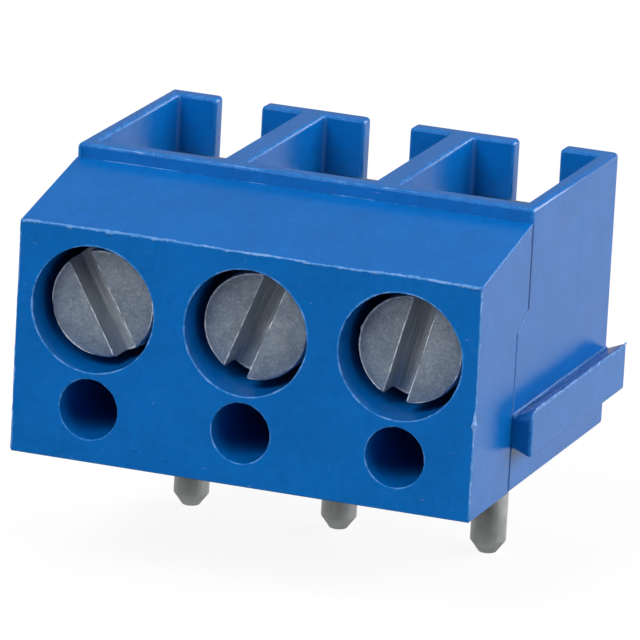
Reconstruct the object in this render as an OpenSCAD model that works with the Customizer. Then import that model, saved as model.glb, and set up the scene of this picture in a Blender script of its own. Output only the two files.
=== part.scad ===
// Three-pole screw terminal block for a printed circuit board. Screws and wires both enter at the front.
// Millimetres. X runs along the row of poles, Y from the front face to the back, Z up from the board.
// The origin lies on the board, under the middle of the block.

/* [Block] */
// Distance from one pole to the next
pitch = 5.08; // [5:0.01:6.35]
// Height of the front face
face_h = 7.5; // [7.3:0.1:8.2]
// Height where the sloping top meets the riser
slope_top_h = 8.5; // [8.3:0.1:9.5]
// Distance from the front face to the riser
slope_depth = 4.5; // [4.45:0.05:5]
// Height of the riser and of the walls behind it
wall_top_h = 8.95; // [8.7:0.05:12]

/* [Walls] */
// Thickness of the two outer side walls
side_wall = 0.47; // [0.35:0.01:0.52]
// Thickness of the partitions between the poles
partition = 0.82; // [0.6:0.02:1]
// Thickness of the riser wall
riser_wall = 0.65; // [0.5:0.05:0.8]
// Thickness of the rear wall
rear_wall = 0.6; // [0.4:0.05:0.8]
// Thickness of the floor under the clamps
floor_t = 0.45; // [0.35:0.05:0.5]

/* [Seam between the two housings] */
// Distance from the front face to the lower part of the seam
seam_low_y = 3.58; // [3.2:0.05:4]
// Height where the lower part of the seam ends
seam_low_h = 5.2; // [4.8:0.05:5.4]
// Height where the upper part of the seam begins
seam_high_h = 5.75; // [5.5:0.05:6.2]
// Diameter of the pegs that locate one housing in the other
peg_d = 1.2; // [0.8:0.1:1.6]
// Length of the pegs
peg_len = 1.2; // [0.8:0.1:2]

/* [Front openings] */
// Diameter of the screw bores
screw_bore_d = 4.06; // [3.9:0.02:4.2]
// Plastic left between a screw bore and the wire hole below it
bore_land = 0.21; // [0.15:0.01:0.3]
// Height of the wire axes
wire_axis_h = 1.72; // [1.65:0.01:1.8]
// Diameter of the wire holes
wire_hole_d = 1.94; // [1.8:0.02:2]
// Diameter of the wire holes where they reach the clamps
wire_funnel_d = 1.72; // [1.5:0.02:1.76]

/* [Rear openings] */
// Width of the slot in the rear wall behind each pole
rear_slot_w = 1.53; // [1:0.01:2]
// Height of the bottom of that slot
rear_slot_h = 3.6; // [3.3:0.1:7]
// Rounding at the mouths of the slots and along the tops of the side walls
top_r = 0.16; // [0.05:0.01:0.3]

/* [Side rail and groove] */
// How far the dovetail rail stands out
rail_out = 0.66; // [0.5:0.02:0.7]
// Height of the rail where it leaves the wall
rail_neck = 1; // [0.8:0.02:1.2]
// Height of the rail at its outer face
rail_face = 1.54; // [1.3:0.02:1.7]
// Height of the middle of the rail
rail_axis_h = 2; // [1.9:0.02:2.1]
// Clearance of the groove round a neighbour's rail
rail_gap = 0.05; // [0.02:0.01:0.08]
// Plastic left between the groove and the chamber beside and above it
groove_wall = 0.33; // [0.25:0.01:0.45]
// Chamfer at the front top corner of the rail
rail_chamfer = 0.25; // [0.1:0.05:0.4]

/* [Clamp screws] */
// Depth of the screw heads below the front face with the clamps fully open
open_recess = 0.83; // [0.7:0.01:0.9]
// How far each screw is turned in from fully open
turned_in = [0, 0.03, 0.1];
// Lean of each driver slot from upright, clockwise seen from the front
slot_turn = [-30, 21, 15];
// Diameter of the heads
head_d = 3.44; // [3.2:0.02:3.7]
// Length of the heads
head_len = 1.8; // [1.5:0.05:1.85]
// Chamfer round the head's edge
head_chamfer = 0.1; // [0.05:0.01:0.2]
// Width of the driver slot
driver_slot_w = 0.8; // [0.6:0.05:1]
// Depth of the driver slot
driver_slot_depth = 0.95; // [0.7:0.05:1.2]
// Outer diameter of the thread
thread_d = 3; // [2.9:0.05:3]
// Advance of the screw in one turn
thread_pitch = 0.5; // [0.45:0.05:0.5]
// Diameter of the neck at the tip
neck_d = 0.9; // [0.7:0.05:1]
// Length of the neck
neck_len = 0.45; // [0.4:0.05:0.5]
// Diameter of the button behind the neck
button_d = 1.4; // [1.2:0.05:1.5]
// Length of the button
button_len = 0.5; // [0.4:0.05:0.6]
// Number of turns from open to closed
screw_turns = 3.5; // [3:0.1:3.5]
// Room left behind the head with the clamp closed
head_end_gap = 0.12; // [0.05:0.01:0.2]
// How far the thread stands past the threaded wall with the clamp open
thread_past = 0.25; // [0.1:0.05:0.5]

/* [Clamp cages] */
// Thickness of the two side walls where the cage is narrow
cage_side = 0.35; // [0.3:0.05:0.4]
// Thickness of the base that the wire lies on
cage_base = 0.5; // [0.4:0.05:0.55]
// Thickness of the roof
cage_roof = 0.55; // [0.45:0.05:0.6]
// Thickness of the threaded front wall
cage_front = 1.5; // [1.2:0.1:1.5]
// Thickness of the rear wall that stops the wire
cage_back = 0.6; // [0.4:0.05:0.6]
// Metal left between the wire opening and the thread above it
gate_wall = 0.33; // [0.25:0.01:0.45]
// Chamfer at the front edge of the base
lead_in = 0.2; // [0.1:0.05:0.3]

/* [Wedges and jaws] */
// Fall of the jaw for each millimetre that the wedge moves
wedge_slope = 0.8; // [0.6:0.05:0.8]
// Length of a wedge
wedge_len = 2.45; // [2.3:0.05:2.45]
// Length of the wedge's flat sole ahead of its slope
wedge_sole = 1.45; // [1.2:0.05:1.6]
// Distance from the end of the sole to the nose of the jaw with the clamp open
jaw_lag = 0.25; // [0.15:0.05:0.4]
// Room above the widest wire with the clamp fully open
jaw_lift = 0.17; // [0.1:0.01:0.25]
// Thickness of the jaw at its nose, up to the level of the wedge's sole
jaw_nose = 0.65; // [0.5:0.05:0.8]
// Room behind the wedge with the clamp closed
wedge_end_gap = 0.15; // [0.1:0.05:0.3]
// Number of grip teeth under a jaw
teeth = 5; // [3:1:8]
// Height of a grip tooth
tooth_h = 0.14; // [0.08:0.02:0.2]

/* [Solder pins] */
// Distance from the front of a cage to the middle of its pin
pin_from_cage = 4.23; // [3.8:0.01:4.8]
// Diameter of the pins
pin_d = 1.15; // [0.9:0.05:1.3]
// Length of the pins below the board seat
pin_len = 3.83; // [3:0.05:5]
// Height of the pointed tip
pin_tip = 0.4; // [0.2:0.05:0.6]
// Diameter of the pin's end face
pin_end_d = 0.56; // [0.4:0.02:0.7]
// Diameter of the neck that is riveted into the cage
rivet_d = 0.8; // [0.6:0.05:0.8]
// Gap round a pin in the relief under the floor
relief_gap = 0.1; // [0.05:0.05:0.2]
// Depth of that relief
relief_depth = 0.1; // [0.05:0.05:0.15]

/* [Clearances] */
// Gap round a cage in its chamber
cage_gap = 0.05; // [0.02:0.01:0.06]
// Gap between parts that slide or turn
slide_gap = 0.05; // [0.02:0.01:0.06]
// Gap round the screw's shank where it passes the riser wall
shank_gap = 0.15; // [0.1:0.05:0.3]

/* [Hidden] */
poles = 3;
$fn = 64;
// Overlap of a cut past the face that it opens
cut = 0.5;
block_w = poles * pitch;
screw_travel = screw_turns * thread_pitch;
screw_axis_h = wire_axis_h + wire_hole_d / 2 + bore_land + screw_bore_d / 2;
// From front to back: chamber, cage, threaded wall, wedge, jaw, rear wall
chamber_y = slope_depth + riser_wall;
cage_y = chamber_y + cage_gap;
channel_y = cage_y + cage_front;
thread_end_y = channel_y + thread_past;
wedge_y = thread_end_y + slide_gap;
wedge_end_y = wedge_y + wedge_len;
jaw_y = wedge_y + wedge_sole + jaw_lag;
channel_end_y = wedge_end_y + screw_travel + wedge_end_gap;
jaw_end_y = channel_end_y - slide_gap;
cage_end_y = channel_end_y + cage_back;
chamber_end_y = cage_end_y + cage_gap;
block_depth = chamber_end_y + rear_wall;
pin_y = cage_y + pin_from_cage;
head_end_y = open_recess + head_len + screw_travel + head_end_gap;
// Across a pole
cage_w = pitch - 2 * max(side_wall, partition / 2) - 2 * cage_gap;
cage_low_w = pitch - 2 * (rail_out + rail_gap + groove_wall + cage_gap);
channel_w = cage_low_w - 2 * cage_side;
slider_w = channel_w - 2 * slide_gap;
// From the floor up
cage_floor_h = floor_t + cage_base;
jaw_open_h = wire_axis_h + wire_funnel_d / 2 + jaw_lift;
wire_gate_top_h = screw_axis_h - thread_d / 2 - slide_gap - gate_wall;
chamber_step_h = rail_axis_h + rail_face / 2 + rail_gap + groove_wall;
cage_step_h = chamber_step_h + cage_gap;
wedge_sole_h = jaw_open_h + jaw_nose;
wedge_top_h = screw_axis_h + thread_d / 2 + slide_gap;
channel_top_h = wedge_top_h + slide_gap;
cage_top_h = channel_top_h + cage_roof;
housing_blue = [0.03, 0.34, 0.69];
zinc_grey = [0.42, 0.46, 0.5];
brass = [0.72, 0.6, 0.33];
tin_grey = [0.66, 0.66, 0.65];

function pole_x(k) = (k - (poles + 1) / 2) * pitch;
// Height of the sloping face under the wedge, with the clamp fully open
function slope_h(y) = wedge_sole_h + wedge_slope * (y - wedge_y - wedge_sole);

// Places a shape that is drawn with Y = 0 at the front face
module from_front() {
    translate([0, -block_depth / 2, 0]) children();
}

// A side outline, given as [y, z] points, run along X
module along_x(x_from, x_to, outline) {
    translate([x_from, 0, 0]) rotate([90, 0, 90])
        linear_extrude(x_to - x_from) polygon(outline);
}

// A round bar or cone along Y
module along_y(x, y_from, y_to, z, d, d_end) {
    translate([x, y_from, z]) rotate([-90, 0, 0])
        cylinder(d1 = d, d2 = d_end, h = y_to - y_from);
}

module round_y(x, y_from, y_to, z, d) {
    translate([x, y_from, z]) rotate([-90, 0, 0])
        cylinder(d = d, h = y_to - y_from);
}

module box(x_from, x_to, y_from, y_to, z_from, z_to) {
    translate([x_from, y_from, z_from])
        cube([x_to - x_from, y_to - y_from, z_to - z_from]);
}

module front_housing() {
    color(housing_blue) from_front() difference() {
        along_x(-block_w / 2, block_w / 2,
                [[0, 0], [seam_low_y, 0], [seam_low_y, seam_low_h], [slope_depth, seam_high_h],
                 [slope_depth, slope_top_h], [0, face_h]]);
        for (k = [1 : poles]) {
            round_y(pole_x(k), -cut, slope_depth + cut, screw_axis_h, screw_bore_d);
            round_y(pole_x(k), -cut, slope_depth + cut, wire_axis_h, wire_hole_d);
        }
        for (k = [1 : poles - 1])
            round_y(pole_x(k) + pitch / 2, seam_low_y - peg_len - slide_gap, seam_low_y + cut,
                    wire_axis_h, peg_d);
    }
}

// Cross-section of the dovetail, narrow end at X = 0
module dovetail(out, gap) {
    polygon([[-cut * gap / rail_out, -rail_neck / 2 - gap], [out, -rail_face / 2 - gap],
             [out, rail_face / 2 + gap], [-cut * gap / rail_out, rail_neck / 2 + gap]]);
}

// The rail on the right side, which a neighbouring block slides onto
module rail() {
    difference() {
        translate([block_w / 2, block_depth, rail_axis_h]) rotate([90, 0, 0])
            linear_extrude(block_depth - seam_low_y) dovetail(rail_out, 0);
        translate([block_w / 2, seam_low_y, rail_axis_h + rail_face / 2]) rotate([45, 0, 0])
            cube([rail_out * 3, rail_chamfer * sqrt(2), rail_chamfer * sqrt(2)], center = true);
    }
}

// What is cut away to round a corner that points up and right, with the corner at the origin
module rounding() {
    difference() {
        translate([-top_r, -top_r]) square(top_r + cut);
        translate([-top_r, -top_r]) circle(r = top_r);
    }
}

// An outline in X and Z, run along Y to the back from a given distance behind the front face
module along_depth(y_from) {
    translate([0, block_depth + cut, 0]) rotate([90, 0, 0])
        linear_extrude(block_depth + cut - y_from) children();
}

// The groove on the left side, for a neighbour's rail
module groove() {
    along_depth(seam_low_y - rail_gap)
        translate([-block_w / 2, rail_axis_h]) dovetail(rail_out + rail_gap, rail_gap);
}

// The slot in the rear wall behind one pole
module rear_slot(k) {
    translate([pole_x(k), 0, 0]) along_depth(block_depth - rear_wall - cut) {
        translate([-rear_slot_w / 2, rear_slot_h])
            square([rear_slot_w, wall_top_h - rear_slot_h + cut]);
        for (side = [0, 1])
            mirror([side, 0]) translate([-rear_slot_w / 2, wall_top_h]) rounding();
    }
}

// Everything that one pole takes out of the rear housing
module pole_cuts(k) {
    x = pole_x(k);
    left_wall = k == 1 ? side_wall : partition / 2;
    right_wall = k == poles ? side_wall : partition / 2;
    box(x - pitch / 2 + left_wall, x + pitch / 2 - right_wall, chamber_y, chamber_end_y,
        chamber_step_h, wall_top_h + cut);
    box(x - cage_low_w / 2 - cage_gap, x + cage_low_w / 2 + cage_gap, chamber_y, chamber_end_y,
        floor_t, chamber_step_h + cut);
    round_y(x, seam_low_y - cut, head_end_y, screw_axis_h, screw_bore_d);
    round_y(x, seam_low_y, chamber_y + cut, screw_axis_h, thread_d + 2 * shank_gap);
    along_y(x, seam_low_y, chamber_y + slide_gap, wire_axis_h, wire_hole_d, wire_funnel_d);
    translate([x, pin_y, -cut]) cylinder(d = rivet_d + 2 * slide_gap, h = floor_t + 2 * cut);
    translate([x, pin_y, -cut]) cylinder(d = pin_d + 2 * relief_gap, h = relief_depth + cut);
    rear_slot(k);
}

module rear_housing() {
    color(housing_blue) from_front() difference() {
        union() {
            along_x(-block_w / 2, block_w / 2,
                    [[seam_low_y, 0], [block_depth, 0], [block_depth, wall_top_h],
                     [slope_depth, wall_top_h], [slope_depth, seam_high_h], [seam_low_y, seam_low_h]]);
            for (k = [1 : poles - 1])
                round_y(pole_x(k) + pitch / 2, seam_low_y - peg_len, seam_low_y + cut, wire_axis_h, peg_d);
            rail();
        }
        for (k = [1 : poles]) pole_cuts(k);
        for (side = [0, 1])
            mirror([side, 0, 0]) along_depth(slope_depth - cut)
                translate([block_w / 2, wall_top_h]) rounding();
        groove();
    }
}

// The brass body of one clamp: a closed frame, threaded in front, with a channel for jaw and wire
module clamp_cage(k) {
    color(brass) from_front() translate([pole_x(k), 0, 0]) difference() {
        union() {
            box(-cage_low_w / 2, cage_low_w / 2, cage_y, cage_end_y, floor_t, cage_top_h);
            box(-cage_w / 2, cage_w / 2, cage_y, cage_end_y, cage_step_h, cage_top_h);
        }
        box(-channel_w / 2, channel_w / 2, channel_y, channel_end_y, cage_floor_h, channel_top_h);
        box(-channel_w / 2, channel_w / 2, cage_y - cut, channel_y + cut, cage_floor_h, wire_gate_top_h);
        round_y(0, cage_y - cut, thread_end_y + screw_travel + slide_gap, screw_axis_h,
                thread_d + 2 * slide_gap);
        translate([0, cage_y, cage_floor_h]) rotate([45, 0, 0])
            cube([channel_w, lead_in * sqrt(2), lead_in * sqrt(2)], center = true);
        translate([0, pin_y, floor_t - cut]) cylinder(d = rivet_d, h = cage_base + 2 * cut);
    }
}

// Slotted screw with a button tip that turns in the wedge
module clamp_screw(k) {
    head_y = open_recess;
    shank_y = head_y + head_len;
    color(zinc_grey) from_front() translate([pole_x(k), turned_in[k - 1], screw_axis_h])
        rotate([-90, 0, 0]) difference() {
            rotate_extrude() polygon([
                [0, head_y], [head_d / 2 - head_chamfer, head_y], [head_d / 2, head_y + head_chamfer],
                [head_d / 2, shank_y], [thread_d / 2, shank_y],
                [thread_d / 2, thread_end_y], [neck_d / 2, thread_end_y],
                [neck_d / 2, thread_end_y + neck_len], [button_d / 2, thread_end_y + neck_len],
                [button_d / 2, thread_end_y + neck_len + button_len],
                [0, thread_end_y + neck_len + button_len]]);
            rotate([0, 0, slot_turn[k - 1]])
                translate([-driver_slot_w / 2, -head_d, head_y - cut])
                    cube([driver_slot_w, 2 * head_d, driver_slot_depth + cut]);
        }
}

// The block that the screw pushes back: its slope drives the jaw down
module wedge(k) {
    pocket_y = thread_end_y + neck_len - slide_gap;
    pocket_end_y = thread_end_y + neck_len + button_len + slide_gap;
    color(brass) from_front() translate([pole_x(k), turned_in[k - 1], 0]) difference() {
        along_x(-slider_w / 2, slider_w / 2,
                [[wedge_y, wedge_sole_h], [wedge_y + wedge_sole, wedge_sole_h],
                 [wedge_end_y, slope_h(wedge_end_y)], [wedge_end_y, wedge_top_h], [wedge_y, wedge_top_h]]);
        round_y(0, wedge_y - cut, pocket_y + slide_gap, screw_axis_h, neck_d + 2 * slide_gap);
        box(-neck_d / 2 - slide_gap, neck_d / 2 + slide_gap, wedge_y - cut, pocket_y + slide_gap,
            screw_axis_h, wedge_top_h + cut);
        round_y(0, pocket_y, pocket_end_y, screw_axis_h, button_d + 2 * slide_gap);
        box(-button_d / 2 - slide_gap, button_d / 2 + slide_gap, pocket_y, pocket_end_y,
            screw_axis_h, wedge_top_h + cut);
    }
}

// The piece that the wedge presses onto the wire, with teeth across its underside
module jaw(k) {
    tooth_len = (jaw_end_y - jaw_y) / teeth;
    tooth_line = [for (i = [0 : 2 * teeth])
                  [jaw_y + i * tooth_len / 2, jaw_open_h + (i % 2 == 0 ? tooth_h : 0)]];
    color(brass) from_front() translate([pole_x(k), 0, -wedge_slope * turned_in[k - 1]])
        along_x(-slider_w / 2, slider_w / 2,
                concat(tooth_line, [[jaw_end_y, slope_h(jaw_end_y) - slide_gap],
                                    [jaw_y, slope_h(jaw_y) - slide_gap]]));
}

// Round pin with a pointed end, riveted into the cage through the floor
module solder_pin(k) {
    color(tin_grey) from_front() translate([pole_x(k), pin_y, 0]) {
        translate([0, 0, -pin_len]) cylinder(d1 = pin_end_d, d2 = pin_d, h = pin_tip);
        translate([0, 0, pin_tip - pin_len]) cylinder(d = pin_d, h = pin_len - pin_tip);
        cylinder(d = rivet_d, h = cage_floor_h);
    }
}

front_housing();
rear_housing();
for (k = [1 : poles]) {
    clamp_cage(k);
    clamp_screw(k);
    wedge(k);
    jaw(k);
    solder_pin(k);
}
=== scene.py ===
import math

import bmesh
import bpy
from mathutils import Matrix, Vector, noise


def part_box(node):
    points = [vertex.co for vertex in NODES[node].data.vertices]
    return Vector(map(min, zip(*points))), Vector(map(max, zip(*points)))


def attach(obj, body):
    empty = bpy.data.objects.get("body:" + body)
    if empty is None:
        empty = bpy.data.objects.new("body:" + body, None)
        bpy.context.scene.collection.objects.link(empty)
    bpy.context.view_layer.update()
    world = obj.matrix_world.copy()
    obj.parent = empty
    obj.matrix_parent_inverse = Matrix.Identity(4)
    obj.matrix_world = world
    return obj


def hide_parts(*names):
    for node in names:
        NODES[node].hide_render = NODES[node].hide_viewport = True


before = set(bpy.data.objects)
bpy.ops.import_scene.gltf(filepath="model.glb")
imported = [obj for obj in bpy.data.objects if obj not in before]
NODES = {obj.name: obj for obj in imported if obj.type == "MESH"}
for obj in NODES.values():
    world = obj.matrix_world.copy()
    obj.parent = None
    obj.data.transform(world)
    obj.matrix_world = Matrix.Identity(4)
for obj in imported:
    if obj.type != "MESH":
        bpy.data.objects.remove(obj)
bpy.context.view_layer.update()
MM = 0.001
POLES = (1, 2, 3)


# ---------------------------------------------------------------- sizes in mm, from the frame and the part
def low(node):
    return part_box(node)[0] / MM


def high(node):
    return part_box(node)[1] / MM


FRONT_Y = low("front_housing").y
REAR_Y = high("rear_housing").y
HALF_W = high("front_housing").x
SLOPE_TOP_Z = high("front_housing").z
RISER_Y = high("front_housing").y
TOP_Z = high("rear_housing").z
PEG_LEN = 1.2
SEAM_Y = low("rear_housing").y + PEG_LEN
RAIL_X = high("rear_housing").x
PIN_TIP_Z = low("solder_pin_1").z
FACE_Z = 7.5
SCREW_Z = 4.93
WIRE_Z = 1.72
BORE_R = 2.03
WIRE_R = 0.97
RAIL_TOP_Z = 2.77
SEAM_LOW_Z, SEAM_HIGH_Z = 5.2, 5.75
SCREW = {"head_r": 1.72, "head_len": 1.8, "slot_w": 0.8, "slot_depth": 0.95, "major_r": 1.5, "minor_r": 1.2,
         "pitch": 0.5, "neck_r": 0.45, "neck_len": 0.45, "button_r": 0.7, "button_len": 0.5}
CAGE_BORE_R = 1.55
THREAD_PAST = 0.25
RELIEF_Z = TOP_Z - 1.2
RELIEF_Y = 3.0
SLOT_TURN = {1: -30, 2: 21, 3: 15}


def pole_x(k):
    return (low(f"clamp_screw_{k}").x + high(f"clamp_screw_{k}").x) / 2


# ---------------------------------------------------------------- node helpers
RANGE_KEYS = ("From Min", "From Max", "To Min", "To Max")


class Tree:
    """A material's nodes, built by short calls. Coordinates are millimetres in the object's own frame."""

    def __init__(self, name):
        self.mat = bpy.data.materials.new(name)
        self.mat.use_nodes = True
        self.t = self.mat.node_tree
        self.t.nodes.clear()
        self.out = self.t.nodes.new("ShaderNodeOutputMaterial")
        self.bsdf = self.t.nodes.new("ShaderNodeBsdfPrincipled")
        self.t.links.new(self.bsdf.outputs[0], self.out.inputs[0])
        coords = self.t.nodes.new("ShaderNodeTexCoord")
        scale = self.t.nodes.new("ShaderNodeMapping")
        scale.inputs["Scale"].default_value = (1000, 1000, 1000)
        self.t.links.new(coords.outputs["Object"], scale.inputs[0])
        self.mm = scale.outputs[0]

    def put(self, value, socket):
        if isinstance(value, bpy.types.NodeSocket):
            self.t.links.new(value, socket)
        elif isinstance(value, (tuple, list)) and len(value) == 3 and len(socket.default_value) == 4:
            socket.default_value = (*value, 1)
        else:
            socket.default_value = value

    def stretched(self, scale, turn=(0, 0, 0)):
        """Coordinates scaled along each axis, and then turned."""
        n = self.t.nodes.new("ShaderNodeMapping")
        n.inputs["Scale"].default_value = scale
        n.inputs["Rotation"].default_value = turn
        self.t.links.new(self.mm, n.inputs[0])
        return n.outputs[0]

    def along(self, turn, waves):
        """Coordinates turned about Y by turn degrees, then scaled by waves per mm across, in and along."""
        n = self.t.nodes.new("ShaderNodeMapping")
        n.vector_type = "TEXTURE"
        n.inputs["Rotation"].default_value = (0, math.radians(turn), 0)
        n.inputs["Scale"].default_value = tuple(1 / w for w in waves)
        self.t.links.new(self.mm, n.inputs[0])
        return n.outputs[0]

    def noise(self, scale, detail=3.0, rough=0.55, vector=None, distortion=0.0, seed=0.0):
        n = self.t.nodes.new("ShaderNodeTexNoise")
        n.noise_dimensions = "4D"
        n.inputs["W"].default_value = seed
        n.inputs["Scale"].default_value = scale
        n.inputs["Detail"].default_value = detail
        n.inputs["Roughness"].default_value = rough
        n.inputs["Distortion"].default_value = distortion
        self.t.links.new(vector or self.mm, n.inputs["Vector"])
        return n.outputs["Fac"]

    def span(self, value, a, b, to_a=0.0, to_b=1.0):
        n = self.t.nodes.new("ShaderNodeMapRange")
        n.interpolation_type = "SMOOTHSTEP"
        for key, x in zip(RANGE_KEYS, (a, b, to_a, to_b)):
            n.inputs[key].default_value = x
        self.t.links.new(value, n.inputs["Value"])
        return n.outputs[0]

    def math(self, kind, a, b=0.0):
        n = self.t.nodes.new("ShaderNodeMath")
        n.operation = kind
        self.put(a, n.inputs[0])
        self.put(b, n.inputs[1])
        return n.outputs[0]

    def mix(self, fac, a, b):
        n = self.t.nodes.new("ShaderNodeMix")
        n.data_type = "RGBA"
        self.put(fac, n.inputs[0])
        self.put(a, n.inputs[6])
        self.put(b, n.inputs[7])
        return n.outputs[2]

    def axis(self, which):
        n = self.t.nodes.new("ShaderNodeSeparateXYZ")
        self.t.links.new(self.mm, n.inputs[0])
        return n.outputs[which]

    def bump(self, height, distance, under=None):
        n = self.t.nodes.new("ShaderNodeBump")
        n.inputs["Strength"].default_value = 1.0
        n.inputs["Distance"].default_value = distance * MM
        self.t.links.new(height, n.inputs["Height"])
        if under is not None:
            self.t.links.new(under, n.inputs["Normal"])
        return n.outputs[0]

    def set(self, **values):
        for name, value in values.items():
            self.put(value, self.bsdf.inputs[name.replace("_", " ")])
        return self.mat


# ---------------------------------------------------------------- materials
BLUE = (0.0010, 0.130, 0.465)
PALE = (0.008, 0.165, 0.53)
SCUFFED = (0.30, 0.46, 0.80)


def joint_shade_mask(t, half):
    """1 on the joint between the two housings, which steps back between two heights, and 0 away from it. It
    places the painted shade along the joint.
    """
    n = t.t.nodes.new("ShaderNodeMapRange")
    for key, x in zip(RANGE_KEYS, (SEAM_LOW_Z, SEAM_HIGH_Z, SEAM_Y, RISER_Y)):
        n.inputs[key].default_value = x
    t.t.links.new(t.axis(2), n.inputs["Value"])
    away = t.math("ABSOLUTE", t.math("SUBTRACT", t.axis(1), n.outputs[0]))
    below = t.span(t.axis(2), SLOPE_TOP_Z - 0.10, SLOPE_TOP_Z - 0.03, 1, 0)
    inboard = t.span(t.math("ABSOLUTE", t.axis(0)), HALF_W + 0.02, HALF_W + 0.05, 1, 0)
    open_part = t.math("MAXIMUM", t.span(t.axis(2), 4.9, 5.4, 0.45, 1), t.span(t.axis(2), 1.0, 1.8, 0.9, 0))
    place = t.math("MULTIPLY", t.math("MULTIPLY", below, inboard), open_part)
    return t.math("MULTIPLY", place, t.span(away, 0.4 * half, half, 1, 0))


def mould_relief(t):
    """Faint steps that the mould's parts leave on the outer side walls, behind the joint between the
    housings.
    """
    out = t.math("ABSOLUTE", t.axis(0))
    wall = t.span(out, HALF_W - 0.06, HALF_W - 0.03)
    wall = t.math("MULTIPLY", wall, t.span(out, HALF_W + 0.03, HALF_W + 0.06, 1, 0))
    wall = t.math("MULTIPLY", wall, t.span(t.axis(1), RISER_Y + 0.1, RISER_Y + 0.6))
    level = t.span(t.axis(2), RELIEF_Z - 0.07, RELIEF_Z + 0.07)
    upright = t.span(t.axis(1), RELIEF_Y - 0.1, RELIEF_Y + 0.1)
    upright = t.math("MULTIPLY", upright, t.span(t.axis(2), 3.4, 5.0, 0.1, 0.6))
    return t.math("MULTIPLY", wall, t.math("ADD", level, upright))


def chamber_corner(t):
    """1 on the inner corners of the chambers, below the tops of their walls, where nothing rubs."""
    inside = t.span(t.axis(1), RISER_Y + 0.60, RISER_Y + 0.64)
    inside = t.math("MULTIPLY", inside, t.span(t.axis(1), REAR_Y - 0.60, REAR_Y - 0.57, 1, 0))
    across = t.math("ABSOLUTE", t.axis(0))
    inside = t.math("MULTIPLY", inside, t.span(across, HALF_W - 0.34, HALF_W - 0.30, 1, 0))
    return t.math("MULTIPLY", inside, t.span(t.axis(2), TOP_Z - 0.17, TOP_Z - 0.13, 1, 0))


def moulded_plastic(name, blue, pale):
    """Moulded blue plastic: mottled colour, spark-eroded skin, flow marks, pale scuffs and painted shade
    along the joint between the housings.
    """
    t = Tree(name)
    mottle = t.span(t.noise(0.45, 4, 0.6, seed=1), 0.3, 0.7)
    grain = t.noise(9, 4, 0.65, seed=2)
    flow = t.noise(1, 3, 0.6, t.stretched((0.25, 1.2, 1.6)), 0.4, seed=3)
    tone = t.mix(mottle, tuple(c * 0.93 for c in blue), tuple(min(1, c * 1.07) for c in blue))
    tone = t.mix(t.span(flow, 0.45, 0.8, 0, 0.14), tone, pale)
    tone = t.mix(t.span(grain, 0.35, 0.75, 0, 0.12), tone, pale)
    cloudy = t.noise(3, 5, 0.7, distortion=0.4, seed=44)
    tone = t.mix(t.span(cloudy, 0.36, 0.5, 0.35, 0), tone, tuple(c * 0.80 for c in blue))
    tone = t.mix(t.span(cloudy, 0.5, 0.64, 0, 0.30), tone, tuple(c * 1.18 for c in blue))
    scratch = t.noise(1, 5, 0.7, t.stretched((2.2, 14, 14), (0.1, 0.2, 0.5)), 0.8, seed=4)
    scuff = t.math("MULTIPLY", t.span(scratch, 0.63, 0.72), t.span(t.noise(0.9, 2, seed=5), 0.5, 0.62))
    tone = t.mix(t.math("MULTIPLY", scuff, 0.6), tone, SCUFFED)
    speck = t.span(t.noise(6, 2, 0.5, seed=9), 0.73, 0.78)
    tone = t.mix(t.math("MULTIPLY", speck, 0.22), tone, SCUFFED)
    # painted shade: the joint between the housings is darkened where its narrow gap lies in shadow
    seam_shade = t.math("MULTIPLY", joint_shade_mask(t, 0.09), t.span(t.noise(1.4, 3, seed=10), 0.3, 0.55, 0.55, 0.95))
    tone = t.mix(seam_shade, tone, (0.0008, 0.050, 0.22))
    rough = t.span(t.noise(3.2, 4, 0.6, seed=6), 0.25, 0.75, 0.13, 0.21)
    rough = t.math("ADD", rough, t.math("MULTIPLY", t.math("MAXIMUM", scuff, seam_shade), 0.15))
    skin = t.bump(t.noise(26, 3, 0.6, seed=7), 0.004)
    peel = t.bump(t.noise(1.6, 3, 0.5, seed=8), 0.008, under=skin)
    relief = t.bump(mould_relief(t), 0.008, under=peel)
    cuts = t.bump(scuff, 0.006, under=relief)
    return t.set(Base_Color=tone, Roughness=rough, Normal=cuts, IOR=1.52)


def worn_edge_and_seam_shade(name, blue, bright):
    """The same plastic where its edges have rubbed pale: patchy along the edge, and a little rougher.
    Painted shade darkens the joint between the housings, and the paler blues given for burrs and rims are
    partly a painted highlight.
    """
    t = Tree(name)
    patches = t.span(t.noise(2.2, 5, 0.7, seed=41), 0.42, 0.62)
    rubbed = t.math("MULTIPLY", patches, t.span(t.noise(0.5, 2, seed=42), 0.3, 0.6, 0.25, 1))
    inner = chamber_corner(t)
    rubbed = t.math("MULTIPLY", rubbed, t.math("SUBTRACT", 1.0, inner))
    tone = t.mix(rubbed, blue, bright)
    tone = t.mix(inner, tone, BLUE)
    # painted shade along the joint between the housings, where its gap lies in shadow
    seam_shade = joint_shade_mask(t, 0.14)
    tone = t.mix(seam_shade, tone, (0.0008, 0.045, 0.20))
    rough = t.math("ADD", t.span(rubbed, 0, 1, 0.24, 0.38), t.math("MULTIPLY", seam_shade, 0.4))
    rough = t.math("MAXIMUM", rough, t.math("MULTIPLY", inner, 0.75))
    chips = t.bump(t.noise(7, 4, 0.7, seed=43), 0.02)
    return t.set(Base_Color=tone, Roughness=rough, Normal=chips, IOR=1.52)


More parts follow.
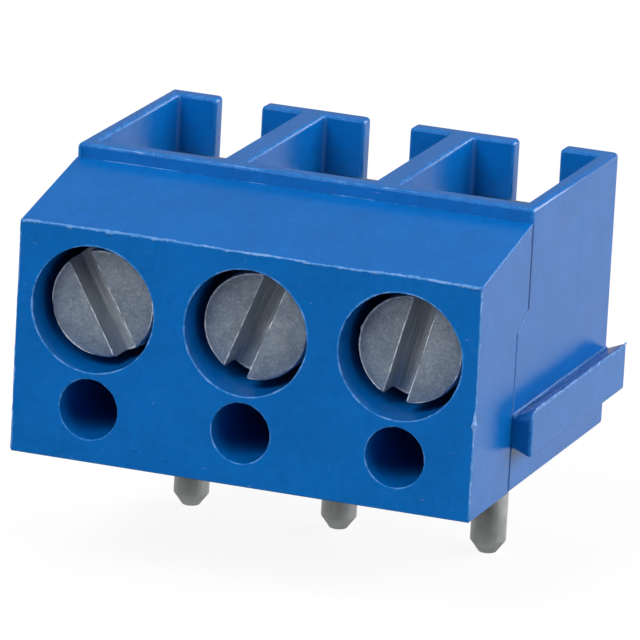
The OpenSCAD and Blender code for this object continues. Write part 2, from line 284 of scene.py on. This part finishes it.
def zinc(name):
    """Zinc plating on a cold-formed screw: blotchy matt grey with fine pits, streaks and dents."""
    t = Tree(name)
    blotch = t.span(t.noise(1.3, 6, 0.7, distortion=0.6, seed=11), 0.36, 0.64)
    pits = t.span(t.noise(11, 4, 0.7, seed=12), 0.52, 0.72)
    streak = t.noise(1, 4, 0.6, t.stretched((3, 3, 18), (0, 0.6, 0)), 0.3, seed=13)
    tone = t.mix(blotch, (0.235, 0.295, 0.365), (0.325, 0.385, 0.455))
    tone = t.mix(t.span(t.noise(0.8, 4, 0.6, seed=17), 0.56, 0.75, 0, 0.35), tone, (0.40, 0.40, 0.34))
    fine = t.noise(10, 6, 0.75, distortion=0.3, seed=20)
    tone = t.mix(t.span(fine, 0.36, 0.5, 0.45, 0), tone, (0.18, 0.23, 0.29))
    tone = t.mix(t.span(fine, 0.5, 0.64, 0, 0.42), tone, (0.56, 0.63, 0.70))
    tone = t.mix(t.math("MULTIPLY", pits, 0.40), tone, (0.15, 0.18, 0.22))
    tone = t.mix(t.span(streak, 0.58, 0.75, 0, 0.35), tone, (0.62, 0.64, 0.65))
    rough = t.span(t.noise(4, 4, 0.6, seed=14), 0.3, 0.7, 0.42, 0.58)
    skin = t.bump(t.noise(12, 6, 0.75, seed=15), 0.014)
    dents = t.bump(t.noise(2.4, 3, 0.5, seed=16), 0.02, under=skin)
    return t.set(Base_Color=tone, Metallic=0.45, Roughness=rough, Normal=dents)


def broached_zinc(name, turn):
    """The slot's faces: brighter than the head, with fine lines along the slot."""
    t = Tree(name)
    lines = t.noise(1, 5, 0.65, t.along(turn, (13, 9, 0.35)), seed=24)
    cloud = t.noise(1.6, 4, 0.6, seed=25)
    tone = t.mix(t.span(cloud, 0.3, 0.7), (0.36, 0.42, 0.47), (0.50, 0.55, 0.60))
    tone = t.mix(t.span(lines, 0.36, 0.5, 0.35, 0), tone, (0.22, 0.26, 0.30))
    tone = t.mix(t.span(lines, 0.5, 0.66, 0, 0.5), tone, (0.74, 0.78, 0.82))
    marks = t.bump(lines, 0.012)
    return t.set(Base_Color=tone, Metallic=0.4, Roughness=t.span(cloud, 0.3, 0.7, 0.34, 0.48), Normal=marks)


def zinc_wear_and_glint(name):
    """Zinc rubbed bright where a driver has slipped, and near white as a painted glint."""
    t = Tree(name)
    cloud = t.noise(5, 4, 0.6, seed=18)
    tone = t.mix(t.span(cloud, 0.35, 0.65), (0.66, 0.72, 0.80), (0.92, 0.94, 0.96))
    marks = t.bump(t.noise(12, 4, 0.7, seed=19), 0.01)
    return t.set(Base_Color=tone, Metallic=0.2, Roughness=t.span(cloud, 0.3, 0.7, 0.25, 0.38), Normal=marks)


def drawn_tin(name):
    """Matt tin on a drawn wire pin, with draw lines along it."""
    t = Tree(name)
    lines = t.noise(1, 4, 0.6, t.stretched((12, 12, 0.5)), seed=21)
    cloud = t.noise(1.3, 4, 0.6, seed=22)
    tone = t.mix(t.span(cloud, 0.3, 0.7), (0.54, 0.56, 0.57), (0.70, 0.71, 0.71))
    tone = t.mix(t.span(lines, 0.55, 0.75, 0, 0.4), tone, (0.30, 0.32, 0.34))
    rough = t.span(cloud, 0.3, 0.7, 0.30, 0.40)
    marks = t.bump(lines, 0.02)
    grain = t.bump(t.noise(14, 4, 0.7, seed=23), 0.004, under=marks)
    return t.set(Base_Color=tone, Metallic=1.0, Roughness=rough, Normal=grain)


def plated_brass(name):
    """Tin-plated brass frame: dull warm grey, brass showing through where the plating is thin."""
    t = Tree(name)
    cloud = t.noise(0.9, 5, 0.6, seed=31)
    thin = t.span(t.noise(2.6, 5, 0.7, seed=32), 0.6, 0.72)
    saw = t.noise(1, 4, 0.6, t.stretched((2, 16, 2)), seed=33)
    tone = t.mix(t.span(cloud, 0.3, 0.7), (0.52, 0.50, 0.44), (0.66, 0.64, 0.57))
    tone = t.mix(t.math("MULTIPLY", thin, 0.22), tone, (0.66, 0.55, 0.34))
    rough = t.span(cloud, 0.3, 0.7, 0.32, 0.46)
    marks = t.bump(saw, 0.006)
    return t.set(Base_Color=tone, Metallic=1.0, Roughness=rough, Normal=marks)


plastic = moulded_plastic("housing_plastic_skin", BLUE, PALE)
edge_plastic = worn_edge_and_seam_shade("housing_plastic_edge", (0.0015, 0.140, 0.485), (0.012, 0.185, 0.56))
# pale burrs and flash: partly stress-whitened plastic, partly a painted highlight for the light line along
# the edges
burr_and_highlight_plastic = worn_edge_and_seam_shade("housing_plastic_burr_highlight", (0.06, 0.26, 0.64), (0.24, 0.43, 0.82))
# paler rim burrs: partly worn plastic, partly a painted highlight on the rims of the bores and wire holes
rim_burr_and_highlight_plastic = worn_edge_and_seam_shade("housing_plastic_rim_highlight", (0.02, 0.20, 0.58), (0.16, 0.36, 0.76))
screw_zinc = zinc("screw_zinc")
# near-white zinc: partly bare metal where drivers slipped, partly a painted glint on the burrs, slot lines
# and the slot's lip
glinting_worn_zinc = zinc_wear_and_glint("screw_zinc_worn_glint")
pin_tin = drawn_tin("pin_tin_plate")
cage_plate = plated_brass("cage_plate")
clamp_steel = zinc("clamp_zinc")

LOOKS = {
    "front_housing": plastic, "rear_housing": plastic, "clamp_cage": cage_plate,
    "clamp_screw": screw_zinc, "wedge": clamp_steel, "jaw": clamp_steel, "solder_pin": pin_tin,
}
EDGE = {
    "front_housing": 0.045, "rear_housing": 0.11, "clamp_cage": 0.04,
    "clamp_screw": 0.03, "wedge": 0.04, "jaw": 0.025, "solder_pin": 0.03,
}


# ---------------------------------------------------------------- CAD nodes: rounded edges and materials
def smooth_group():
    g = bpy.data.node_groups.new("smooth_faces", "GeometryNodeTree")
    g.interface.new_socket("Geometry", in_out="INPUT", socket_type="NodeSocketGeometry")
    g.interface.new_socket("Geometry", in_out="OUTPUT", socket_type="NodeSocketGeometry")
    start, end = g.nodes.new("NodeGroupInput"), g.nodes.new("NodeGroupOutput")
    smooth = g.nodes.new("GeometryNodeSetShadeSmooth")
    g.links.new(start.outputs[0], smooth.inputs[0])
    g.links.new(smooth.outputs[0], end.inputs[0])
    return g


SMOOTH = smooth_group()


def soften(obj, width):
    """Joins the facets of each flat face, rounds sharp edges by width mm, and shades the result smoothly."""
    weld = obj.modifiers.new("join", "WELD")
    weld.merge_threshold = 1e-7
    flat = obj.modifiers.new("flat", "DECIMATE")
    flat.decimate_type = "DISSOLVE"
    flat.angle_limit = math.radians(0.4)
    bevel = obj.modifiers.new("round", "BEVEL")
    bevel.width = width * MM
    bevel.segments = 3
    bevel.limit_method = "ANGLE"
    bevel.angle_limit = math.radians(28)
    bevel.miter_outer = "MITER_ARC"
    bevel.use_clamp_overlap = False
    bevel.material = len(obj.data.materials) - 1
    smooth = obj.modifiers.new("smooth", "NODES")
    smooth.node_group = SMOOTH
    normals = obj.modifiers.new("normals", "WEIGHTED_NORMAL")
    normals.weight = 60
    normals.keep_sharp = False


for name, obj in NODES.items():
    kind = name.rstrip("0123456789").rstrip("_")
    obj.data.materials.clear()
    obj.data.materials.append(LOOKS[kind])
    if LOOKS[kind] is plastic:
        obj.data.materials.append(edge_plastic)
    soften(obj, EDGE[kind])


# ---------------------------------------------------------------- helpers for added pieces
def add_piece(name, bm, material, body):
    """Makes a piece from a bmesh in mm. It rides on a body and takes the given material."""
    bmesh.ops.recalc_face_normals(bm, faces=bm.faces)
    me = bpy.data.meshes.new(name)
    for v in bm.verts:
        v.co *= MM
    bm.to_mesh(me)
    bm.free()
    me.materials.append(material)
    me.shade_smooth()
    obj = bpy.data.objects.new(name, me)
    bpy.context.scene.collection.objects.link(obj)
    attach(obj, body)
    return obj


def ripple(s, seed, *octaves):
    """Smooth noise along a length s in mm: the sum of (waves per mm, height) octaves."""
    return sum(h * noise.noise(Vector((s * f, seed * 7.31, f))) for f, h in octaves)


def bead(bm, path, out, size, wander=0.0, teeth=0.0, seed=0, closed=False, keep=None):
    """A thin raised burr along a path of points in mm.

    out(i) is the direction that it stands up in, size(i) its half width, wander how far it strays
    sideways, teeth the length of its small points, and keep(i) from 0 to 1 lets it fade out on the way.
    """
    count = len(path)
    ring_n = 6
    rings = []
    run = 0.0
    for i in range(count):
        ahead = path[(i + 1) % count] if closed or i + 1 < count else path[i]
        behind = path[i - 1] if closed or i else path[i]
        along = (ahead - behind).normalized()
        up = out(i)
        across = along.cross(up).normalized()
        width = size(i) * (1 + ripple(run, seed, (1.7, 0.5), (6.1, 0.4)))
        tooth = teeth * max(0.0, ripple(run, seed + 3, (3.3, 1.2), (9.7, 0.7)) - 0.35)
        shift = wander * ripple(run, seed + 5, (0.35, 1.0), (1.3, 0.6), (4.2, 0.35))
        fade = max(0.0, min(1.0, keep(i))) if keep else 1.0
        if not closed and i in (0, count - 1):
            fade = 0.0
        centre = path[i] + across * shift
        ring = []
        for j in range(ring_n):
            a = math.tau * j / ring_n
            reach = width + (tooth if j in (0, 1) else 0.0)
            flat = 0.75 * width if math.sin(a) > 0 else 0.9 * width
            offset = across * math.cos(a) * reach + up * math.sin(a) * flat
            ring.append(bm.verts.new(centre + fade * offset))
        rings.append(ring)
        run += (ahead - path[i]).length
    pairs = list(zip(rings, rings[1:])) + ([(rings[-1], rings[0])] if closed else [])
    for one, two in pairs:
        for j in range(ring_n):
            k = (j + 1) % ring_n
            bm.faces.new((one[j], one[k], two[k], two[j]))
    bmesh.ops.remove_doubles(bm, verts=bm.verts, dist=1e-5)


def line(a, b, step=0.04):
    n = max(2, int((b - a).length / step))
    return [a.lerp(b, i / n) for i in range(n + 1)]


def circle_y(x, y, z, r, step=0.04):
    n = int(math.tau * r / step)
    angles = [math.tau * i / n for i in range(n)]
    return [Vector((x + r * math.cos(a), y, z + r * math.sin(a))) for a in angles]


# ---------------------------------------------------------------- moulding flash and burrs on the housings
def front_flash():
    """The ragged parting line along the front top edge."""
    bm = bmesh.new()
    reach, y, z = HALF_W - 0.03, FRONT_Y + 0.03, FACE_Z - 0.015
    path = line(Vector((-reach, y, z)), Vector((reach, y, z)), 0.03)
    up = Vector((0, -0.9, 0.45)).normalized()
    bead(bm, path, lambda i: up, lambda i: 0.044, wander=0.05, teeth=0.12, seed=1)
    add_piece("front_flash", bm, burr_and_highlight_plastic, "housing")


def rim_burrs():
    """Fine burrs round the screw bores and the wire holes, pale partly as a painted highlight, and fullest
    on the side of each rim where light falls.
    """
    for k in POLES:
        for kind, z, r, size in (("bore", SCREW_Z, BORE_R, 0.032), ("wire", WIRE_Z, WIRE_R, 0.022)):
            bm = bmesh.new()
            path = circle_y(pole_x(k), FRONT_Y + 0.022, z, r + 0.018, 0.03)
            n = len(path)

            # the burr, and with it its painted highlight, is kept fullest where light falls on the rim
            def fade(i, n=n, k=k, r=r):
                a = math.tau * i / n
                lit = 0.75 + 0.35 * math.cos(a - 0.3) ** 2 + 0.4 * max(0, math.cos(a - 2.4))
                return lit + ripple(r * a, 20 + k, (0.9, 0.7), (3.7, 0.4))

            bead(bm, path, lambda i: Vector((0, -1, 0)), lambda i: size, wander=0.014, teeth=0.035,
                 seed=10 * k + (kind == "bore"), closed=True, keep=fade)
            add_piece(f"{kind}_rim_burr_{k}", bm, rim_burr_and_highlight_plastic, "housing")


def corner_flash(side):
    """The parting line down a front corner, with one swollen place on the right-hand one."""
    bm = bmesh.new()
    x = side * (HALF_W - 0.018)
    path = line(Vector((x, FRONT_Y + 0.018, 0.06)), Vector((x, FRONT_Y + 0.018, FACE_Z - 0.05)))
    up = Vector((side, -1, 0)).normalized()

    def size(i):
        z = path[i].z
        swell = 1.6 * math.exp(-((z - 3.1) / 0.14) ** 2) if side > 0 else 0.0
        return 0.034 * (1 + swell) * (1.0 if z < 3.4 else 0.72)

    bead(bm, path, lambda i: up, size, wander=0.035, teeth=0.05, seed=31 + side)
    name = "corner_flash_right" if side > 0 else "corner_flash_left"
    add_piece(name, bm, burr_and_highlight_plastic, "housing")


def seam_burrs(side):
    """Broken burrs where the two housings meet on a side wall."""
    bm = bmesh.new()
    x = side * (HALF_W - 0.01)
    corners = [Vector((x, SEAM_Y - 0.06, 0.3)), Vector((x, SEAM_Y - 0.06, SEAM_LOW_Z)),
               Vector((x, RISER_Y - 0.06, SEAM_HIGH_Z)), Vector((x, RISER_Y - 0.06, SLOPE_TOP_Z - 0.1))]
    path = [q for a, b in zip(corners, corners[1:]) for q in line(a, b)[:-1]]
    up = Vector((side, 0, 0))
    bead(bm, path, lambda i: up, lambda i: 0.028, wander=0.02, teeth=0.12, seed=41 + side,
         keep=lambda i: 6 * ripple(0.04 * i, 44 + side, (0.8, 0.5), (2.9, 0.35)) - 0.4)
    name = "seam_burr_right" if side > 0 else "seam_burr_left"
    add_piece(name, bm, burr_and_highlight_plastic, "housing")


def rail_burrs():
    """Scuffed top edge and rear tip of the side rail; their paler blue is partly a painted highlight."""
    bm = bmesh.new()
    x = RAIL_X - 0.016
    z = RAIL_TOP_Z - 0.012
    path = line(Vector((x, SEAM_Y + 0.26, z)), Vector((x, REAR_Y - 0.02, z)))

    def size(i):
        return 0.026 * (1 + 1.2 * math.exp(-((path[i].y - REAR_Y) / 0.12) ** 2))

    bead(bm, path, lambda i: Vector((0.7, 0, 0.7)), size, wander=0.02, teeth=0.07, seed=47,
         keep=lambda i: 0.9 + 1.2 * ripple(0.04 * i, 48, (0.9, 0.6), (3.3, 0.4)))
    add_piece("rail_burr", bm, burr_and_highlight_plastic, "housing")


def foot_burrs():
    """Small nicks along the foot of the riser and along its top edge, pale partly from wear and partly as a
    painted highlight.
    """
    bm = bmesh.new()
    foot = (SLOPE_TOP_Z - 0.01, RISER_Y - 0.03, Vector((0, -0.3, 1)), 51)
    top = (TOP_Z - 0.035, RISER_Y + 0.035, Vector((0, -1, 1)), 52)
    for z, y, up, seed in (foot, top):
        path = line(Vector((-HALF_W + 0.2, y, z)), Vector((HALF_W - 0.2, y, z)), 0.05)
        bead(bm, path, lambda i, up=up: up.normalized(), lambda i: 0.018, wander=0.02, teeth=0.08, seed=seed,
             keep=lambda i, seed=seed: 5 * ripple(0.05 * i, seed, (0.7, 0.5), (2.3, 0.4)) - 0.5)
    add_piece("riser_burrs", bm, burr_and_highlight_plastic, "housing")


# ---------------------------------------------------------------- clamp screws: threads and worn slots
def screw_rings(y0, y1):
    """(radius, y) of the turned outline before and after the thread."""
    c = SCREW
    shank, end = y0 + c["head_len"], y1 - c["neck_len"] - c["button_len"]
    head = [(0, y0), (1.0, y0), (c["head_r"] - 0.10, y0), (c["head_r"] - 0.03, y0 + 0.03),
            (c["head_r"], y0 + 0.10), (c["head_r"], shank - 0.06), (c["head_r"] - 0.06, shank),
            (c["minor_r"], shank)]
    tip = [(c["minor_r"], end), (c["neck_r"] + 0.05, end), (c["neck_r"], end + 0.05),
           (c["neck_r"], y1 - c["button_len"]),
           (c["button_r"] - 0.04, y1 - c["button_len"]), (c["button_r"], y1 - c["button_len"] + 0.04),
           (c["button_r"], y1 - 0.10), (c["button_r"] - 0.10, y1), (0, y1)]
    return head, tip, shank, end


def lathe(bm, rings, around, x, z, seed):
    """Turns a list of (radius, y) round the screw's axis; the head's rim is a little uneven."""
    rows = []
    for r, y in rings:
        row = []
        for j in range(around):
            a = math.tau * j / around
            place = Vector((2.5 * math.cos(a), 2.5 * math.sin(a), seed))
            dent = 0.010 * noise.noise(place) if r > 1.6 else 0.0
            row.append(bm.verts.new((x + (r + dent) * math.cos(a), y, z + (r + dent) * math.sin(a))))
        rows.append(row)
    for one, two in zip(rows, rows[1:]):
        for j in range(around):
            k = (j + 1) % around
            bm.faces.new((one[j], one[k], two[k], two[j]))


def thread(bm, start, end, around, x, z, major, minor, pitch, turn):
    """A helical thread between two rings, with flat crests and roots, running out at both ends."""
    per = 8
    shape = (0, 0, 0.5, 1, 1, 1, 0.5, 0)
    first, last = -2 * per, int((end - start) / pitch * per) + 2 * per
    grid = {}
    for i in range(first, last + 1):
        for j in range(around + 1):
            share = j / around
            y = start + (i / per - share + turn) * pitch
            fade = max(0.0, min(1.0, (y - start) / 0.3, (end - y) / 0.3))
            y = max(start, min(end, y))
            r = minor + (major - minor) * shape[i % per] * fade
            a = math.tau * share
            grid[i, j] = bm.verts.new((x + r * math.cos(a), y, z + r * math.sin(a)))
    for i in range(first, last):
        for j in range(around):
            corners = (grid[i, j], grid[i, j + 1], grid[i + 1, j + 1], grid[i + 1, j])
            bm.faces.new(corners)


def cage_thread(k):
    """The ridge of the thread inside the cage's front wall. It runs in the roots of the screw's thread."""
    c = SCREW
    x, y0, y1 = pole_x(k), low(f"clamp_screw_{k}").y, high(f"clamp_screw_{k}").y
    origin = y0 + c["head_len"] - SLOT_TURN[k] / 360 * c["pitch"]
    wall_y0 = low(f"clamp_cage_{k}").y + 0.12
    # The first screw stands fully open, so the end of its thread gives the wall's place for all poles
    wall_y1 = high("clamp_screw_1").y - c["neck_len"] - c["button_len"] - THREAD_PAST - 0.12
    steps = int((wall_y1 - wall_y0) / c["pitch"] * 48)
    bm = bmesh.new()
    rows = []
    for i in range(steps + 1):
        y = wall_y0 + (wall_y1 - wall_y0) * i / steps
        a = -math.tau * (y - origin) / c["pitch"]
        grow = min(1.0, 6 * i / steps, 6 * (steps - i) / steps)
        crest = CAGE_BORE_R - (CAGE_BORE_R - c["minor_r"] - 0.06) * grow
        row = []
        root = CAGE_BORE_R + 0.01
        for r, dy in ((root, -0.16), (crest, -0.05), (crest, 0.05), (root, 0.16)):
            along = y + dy * max(grow, 0.05)
            row.append(bm.verts.new((x + r * math.cos(a), along, SCREW_Z + r * math.sin(a))))
        rows.append(row)
    for one, two in zip(rows, rows[1:]):
        for j in range(4):
            bm.faces.new((one[j], one[(j + 1) % 4], two[(j + 1) % 4], two[j]))
    bm.faces.new(rows[0])
    bm.faces.new(rows[-1])
    add_piece(f"cage_thread_{k}", bm, cage_plate, "housing")


def slot_cutter(x, y0, z, turn):
    """The slot's shape as a closed solid: straight walls, and small fillets at the floor."""
    c = SCREW
    w, d, f = c["slot_w"] / 2, c["slot_depth"], 0.10
    side = [(-w, -0.5), (-w, d - f), (-w + 0.3 * f, d - 0.3 * f), (-w + f, d),
            (w - f, d), (w - 0.3 * f, d - 0.3 * f), (w, d - f), (w, -0.5)]
    bm = bmesh.new()
    turned = Matrix.Rotation(math.radians(turn), 3, "Y")
    rows = []
    for length in (-2.5, 2.5):
        rows.append([bm.verts.new(Vector((x, y0, z)) + turned @ Vector((u, v, length))) for u, v in side])
    for j in range(len(side)):
        k = (j + 1) % len(side)
        bm.faces.new((rows[0][j], rows[0][k], rows[1][k], rows[1][j]))
    bm.faces.new(rows[0])
    bm.faces.new(rows[1])
    bmesh.ops.recalc_face_normals(bm, faces=bm.faces)
    return bm


def cut_with(obj, cutter_bm, finish):
    """Cuts a closed solid out of obj's mesh for good, and gives the cut faces a material of their own."""
    me = bpy.data.meshes.new("cutter")
    me.materials.append(finish)
    for v in cutter_bm.verts:
        v.co *= MM
    cutter_bm.to_mesh(me)
    cutter_bm.free()
    cutter = bpy.data.objects.new("cutter", me)
    bpy.context.scene.collection.objects.link(cutter)
    cut = obj.modifiers.new("cut", "BOOLEAN")
    cut.operation = "DIFFERENCE"
    cut.solver = "EXACT"
    cut.material_mode = "TRANSFER"
    cut.object = cutter
    bpy.context.view_layer.update()
    whole = bpy.data.meshes.new_from_object(obj.evaluated_get(bpy.context.evaluated_depsgraph_get()))
    obj.modifiers.remove(cut)
    obj.data = whole
    bpy.data.objects.remove(cutter)


def clamp_screw(k):
    """Slotted head, threaded shank, neck and button, in one piece, in place of the plain CAD screw."""
    name = f"clamp_screw_{k}"
    x, y0, y1 = pole_x(k), low(name).y, high(name).y
    around = 96
    head, tip, shank, end = screw_rings(y0, y1)
    bm = bmesh.new()
    lathe(bm, head, around, x, SCREW_Z, k)
    thread(bm, shank, end, around, x, SCREW_Z, SCREW["major_r"], SCREW["minor_r"], SCREW["pitch"],
           -SLOT_TURN[k] / 360)
    lathe(bm, tip, around, x, SCREW_Z, k)
    bmesh.ops.remove_doubles(bm, verts=bm.verts, dist=1e-4)
    obj = add_piece(f"threaded_screw_{k}", bm, screw_zinc, f"screw_{k}")
    finish = broached_zinc(f"screw_zinc_slot_{k}", SLOT_TURN[k])
    cut_with(obj, slot_cutter(x, y0, SCREW_Z, SLOT_TURN[k]), finish)
    bevel = obj.modifiers.new("round", "BEVEL")
    bevel.width = 0.028 * MM
    bevel.segments = 2
    bevel.limit_method = "ANGLE"
    bevel.angle_limit = math.radians(66)
    smooth = obj.modifiers.new("smooth", "NODES")
    smooth.node_group = SMOOTH
    normals = obj.modifiers.new("normals", "WEIGHTED_NORMAL")
    normals.keep_sharp = False
    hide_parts(name)
    slot_burrs(k, x, y0)


def slot_burrs(k, x, y0):
    """Bright raised burrs along the slot's edges and part of the head's rim, where drivers have worn it; the
    brightness is partly a painted glint.
    """
    bm = bmesh.new()
    turned = Matrix.Rotation(math.radians(SLOT_TURN[k]), 3, "Y")
    centre = Vector((x, y0 - 0.002, SCREW_Z))
    reach = math.sqrt(SCREW["head_r"] ** 2 - (SCREW["slot_w"] / 2) ** 2) - 0.06
    for side in (-1, 1):
        edge = side * (SCREW["slot_w"] / 2 + 0.014)
        ends = [centre + turned @ Vector((edge, 0, v)) for v in (-reach, reach)]
        path = line(*ends, 0.035)

        def keep(i, side=side):
            return 0.6 + 2.2 * ripple(0.035 * i, 61 + 5 * k + side, (1.1, 0.6), (4.3, 0.5))

        bead(bm, path, lambda i: Vector((0, -1, 0)), lambda i: 0.023, wander=0.018, teeth=0.07,
             seed=60 + 3 * k + side, keep=keep)
    rim = circle_y(x, y0 + 0.012, SCREW_Z, SCREW["head_r"] - 0.05, 0.035)
    n = len(rim)

    def lit(i):
        a = math.tau * i / n
        across = abs(math.sin(a - math.pi / 2 + math.radians(SLOT_TURN[k]))) * SCREW["head_r"]
        if across < SCREW["slot_w"] / 2 + 0.05:
            return 0.0
        return 0.25 + 0.9 * max(0, math.cos(a - 2.2)) + 1.1 * ripple(1.7 * a, 70 + k, (0.8, 0.7), (3.1, 0.5))

    bead(bm, rim, lambda i: Vector((0, -1, 0)), lambda i: 0.026, wander=0.014, teeth=0.05, seed=80 + k,
         closed=True, keep=lit)
    slot_floor_marks(bm, k, x, y0 + SCREW["slot_depth"], turned)
    add_piece(f"screw_burrs_and_glints_{k}", bm, glinting_worn_zinc, f"screw_{k}")


def slot_floor_marks(bm, k, x, y, turned):
    """Broaching lines along the slot's floor, and the bright lip where the floor runs out at the rim; both
    take the near-white zinc, which is partly a painted glint.
    """
    centre = Vector((x, y, SCREW_Z))
    reach = SCREW["head_r"] - 0.12
    for n, place in enumerate((-0.12, 0.10, 0.22)):
        ends = [centre + turned @ Vector((place, 0, v)) for v in (-reach, reach)]
        path = line(*ends, 0.06)
        bead(bm, path, lambda i: Vector((0, -1, 0)), lambda i: 0.009, wander=0.012, seed=90 + 7 * k + n,
             keep=lambda i, n=n: 0.5 + 2.2 * ripple(0.06 * i, 91 + 11 * k + n, (0.9, 0.8), (3.1, 0.3)))
    half = SCREW["slot_w"] / 2 - 0.08
    lip = []
    for i in range(25):
        u = -half + 2 * half * i / 24
        lip.append(centre + turned @ Vector((u, -0.012, -math.sqrt((SCREW["head_r"] - 0.03) ** 2 - u * u))))
    bead(bm, lip, lambda i: Vector((0, -1, 0)), lambda i: 0.022 + 0.022 * i / 24, wander=0.01, teeth=0.05,
         seed=97 + k)


front_flash()
rim_burrs()
for side in (-1, 1):
    corner_flash(side)
    seam_burrs(side)
rail_burrs()
foot_burrs()
for k in POLES:
    clamp_screw(k)
    cage_thread(k)


# ---------------------------------------------------------------- stage, light and camera
FLOOR_GLOSS = (0.02, 0.62)
FLOOR_BOUNCE = 0.35
SHADE = 0.12
FLOOR_LIFT = 0.90
TENT_BACK = (0.24, 0.30)
TENT_TOP = 0.88
AIM = (0, 0, 0.004)
CAMERA = {"azimuth": 19.901, "elevation": 15.601, "roll": 3.083, "distance": 275.99, "lens": 495.326,
          "target": (0, -1.3, 4.0), "aside": 0.5806, "above": 0.1403}


def node_maker(tree):
    """A short call that adds a node to a tree and links (socket, source) pairs into it."""
    def node(kind, *links):
        n = tree.nodes.new(kind)
        for socket, source in links:
            tree.links.new(source, n.inputs[socket])
        return n

    return node


def soft_ramp(node, source, values):
    """A smooth step of source, with values in the order of RANGE_KEYS."""
    n = node("ShaderNodeMapRange", (0, source))
    n.interpolation_type = "SMOOTHSTEP"
    for key, x in zip(RANGE_KEYS, values):
        n.inputs[key].default_value = x
    return n.outputs[0]


def stage_floor():
    """A plain pale floor, nearly white to the camera, with a faint shadow. Metal sees it brighter behind."""
    floor_z = PIN_TIP_Z * MM
    half = 1.5
    me = bpy.data.meshes.new("floor")
    corners = [(x, y, floor_z) for x, y in ((-half, -half), (half, -half), (half, half), (-half, half))]
    me.from_pydata(corners, [], [(0, 1, 2, 3)])
    floor = bpy.data.objects.new("floor", me)
    bpy.context.scene.collection.objects.link(floor)
    m = bpy.data.materials.new("pale_floor")
    m.use_nodes = True
    m.node_tree.nodes.clear()
    node = node_maker(m.node_tree)
    path = node("ShaderNodeLightPath")
    geometry = node("ShaderNodeNewGeometry")
    place = node("ShaderNodeSeparateXYZ", (0, geometry.outputs["Position"]))
    behind = soft_ramp(node, place.outputs[1], (-0.004, 0.010, *FLOOR_GLOSS))
    bounce = node("ShaderNodeBsdfDiffuse")
    bounce.inputs[0].default_value = (FLOOR_BOUNCE, FLOOR_BOUNCE, FLOOR_BOUNCE, 1)
    seen_shade = node("ShaderNodeBsdfDiffuse")
    seen_shade.inputs[0].default_value = (SHADE, SHADE, SHADE, 1)
    seen_level = node("ShaderNodeEmission")
    seen_level.inputs[1].default_value = FLOOR_LIFT
    seen = node("ShaderNodeAddShader", (0, seen_shade.outputs[0]), (1, seen_level.outputs[0]))
    mirrored = node("ShaderNodeEmission", (1, behind))
    glossy = node("ShaderNodeMath", (0, path.outputs["Is Glossy Ray"]),
                  (1, path.outputs["Is Transmission Ray"]))
    glossy.operation = "MAXIMUM"
    first = node("ShaderNodeMixShader", (0, glossy.outputs[0]), (1, bounce.outputs[0]),
                 (2, mirrored.outputs[0]))
    second = node("ShaderNodeMixShader", (0, path.outputs["Is Camera Ray"]), (1, first.outputs[0]),
                  (2, seen.outputs[0]))
    see_through = node("ShaderNodeBsdfTransparent")
    third = node("ShaderNodeMixShader", (0, geometry.outputs["Backfacing"]), (1, second.outputs[0]),
                 (2, see_through.outputs[0]))
    node("ShaderNodeOutputMaterial", (0, third.outputs[0]))
    me.materials.append(m)


def surroundings():
    """A white background for the camera, and for other rays a soft tent, brightest low behind the object."""
    world = bpy.data.worlds.new("studio")
    bpy.context.scene.world = world
    world.use_nodes = True
    world.node_tree.nodes.clear()
    node = node_maker(world.node_tree)
    coords = node("ShaderNodeTexCoord")
    part = node("ShaderNodeSeparateXYZ", (0, coords.outputs["Generated"]))
    back = soft_ramp(node, part.outputs[1], (-0.3, 0.9, *TENT_BACK))
    fade = soft_ramp(node, part.outputs[2], (0.05, 0.75, 1, TENT_TOP))
    level = node("ShaderNodeMath", (0, back), (1, fade))
    level.operation = "MULTIPLY"
    tent = node("ShaderNodeBackground", (1, level.outputs[0]))
    white = node("ShaderNodeBackground")
    path = node("ShaderNodeLightPath")
    pick = node("ShaderNodeMixShader", (0, path.outputs["Is Camera Ray"]), (1, tent.outputs[0]),
                (2, white.outputs[0]))
    node("ShaderNodeOutputWorld", (0, pick.outputs[0]))


def softbox(name, place, aim, size, power):
    data = bpy.data.lights.new(name, "AREA")
    data.shape = "RECTANGLE"
    data.size, data.size_y = size
    data.energy = power
    data.spread = math.pi
    lamp = bpy.data.objects.new(name, data)
    bpy.context.scene.collection.objects.link(lamp)
    lamp.location = place
    lamp.rotation_mode = "QUATERNION"
    lamp.rotation_quaternion = (Vector(aim) - Vector(place)).to_track_quat("-Z", "Y")
    return lamp


def camera():
    """The camera that was fitted to the photograph: where it stands, its roll and its lens."""
    az, el, roll = (math.radians(CAMERA[key]) for key in ("azimuth", "elevation", "roll"))
    back = Vector((math.sin(az) * math.cos(el), -math.cos(az) * math.cos(el), math.sin(el)))
    right = (-back).cross(Vector((0, 0, 1))).normalized()
    up = right.cross(-back)
    right, up = right * math.cos(roll) + up * math.sin(roll), up * math.cos(roll) - right * math.sin(roll)
    target = Vector(CAMERA["target"]) + right * CAMERA["aside"] + up * CAMERA["above"]
    data = bpy.data.cameras.new("camera")
    data.lens = CAMERA["lens"]
    data.sensor_width = 36
    data.clip_start, data.clip_end = 0.01, 10
    cam = bpy.data.objects.new("camera", data)
    bpy.context.scene.collection.objects.link(cam)
    turn = Matrix((right, up, back)).transposed().to_4x4()
    cam.matrix_world = Matrix.Translation((target + back * CAMERA["distance"]) * MM) @ turn
    bpy.context.scene.camera = cam


stage_floor()
surroundings()
softbox("key", (-0.18, -0.42, 0.45), AIM, (0.35, 0.35), 2.85).visible_glossy = False
softbox("fill", (0.50, -0.05, 0.24), AIM, (0.40, 0.36), 1.8)
softbox("back", (0.40, 0.40, 0.20), AIM, (0.40, 0.40), 2.25)
softbox("top", (-0.05, 0.05, 0.60), AIM, (0.40, 0.40), 0.45)
softbox("low", (-0.25, -0.55, 0.12), AIM, (0.35, 0.35), 0.5)
camera()
bpy.context.scene.view_settings.view_transform = "Standard"
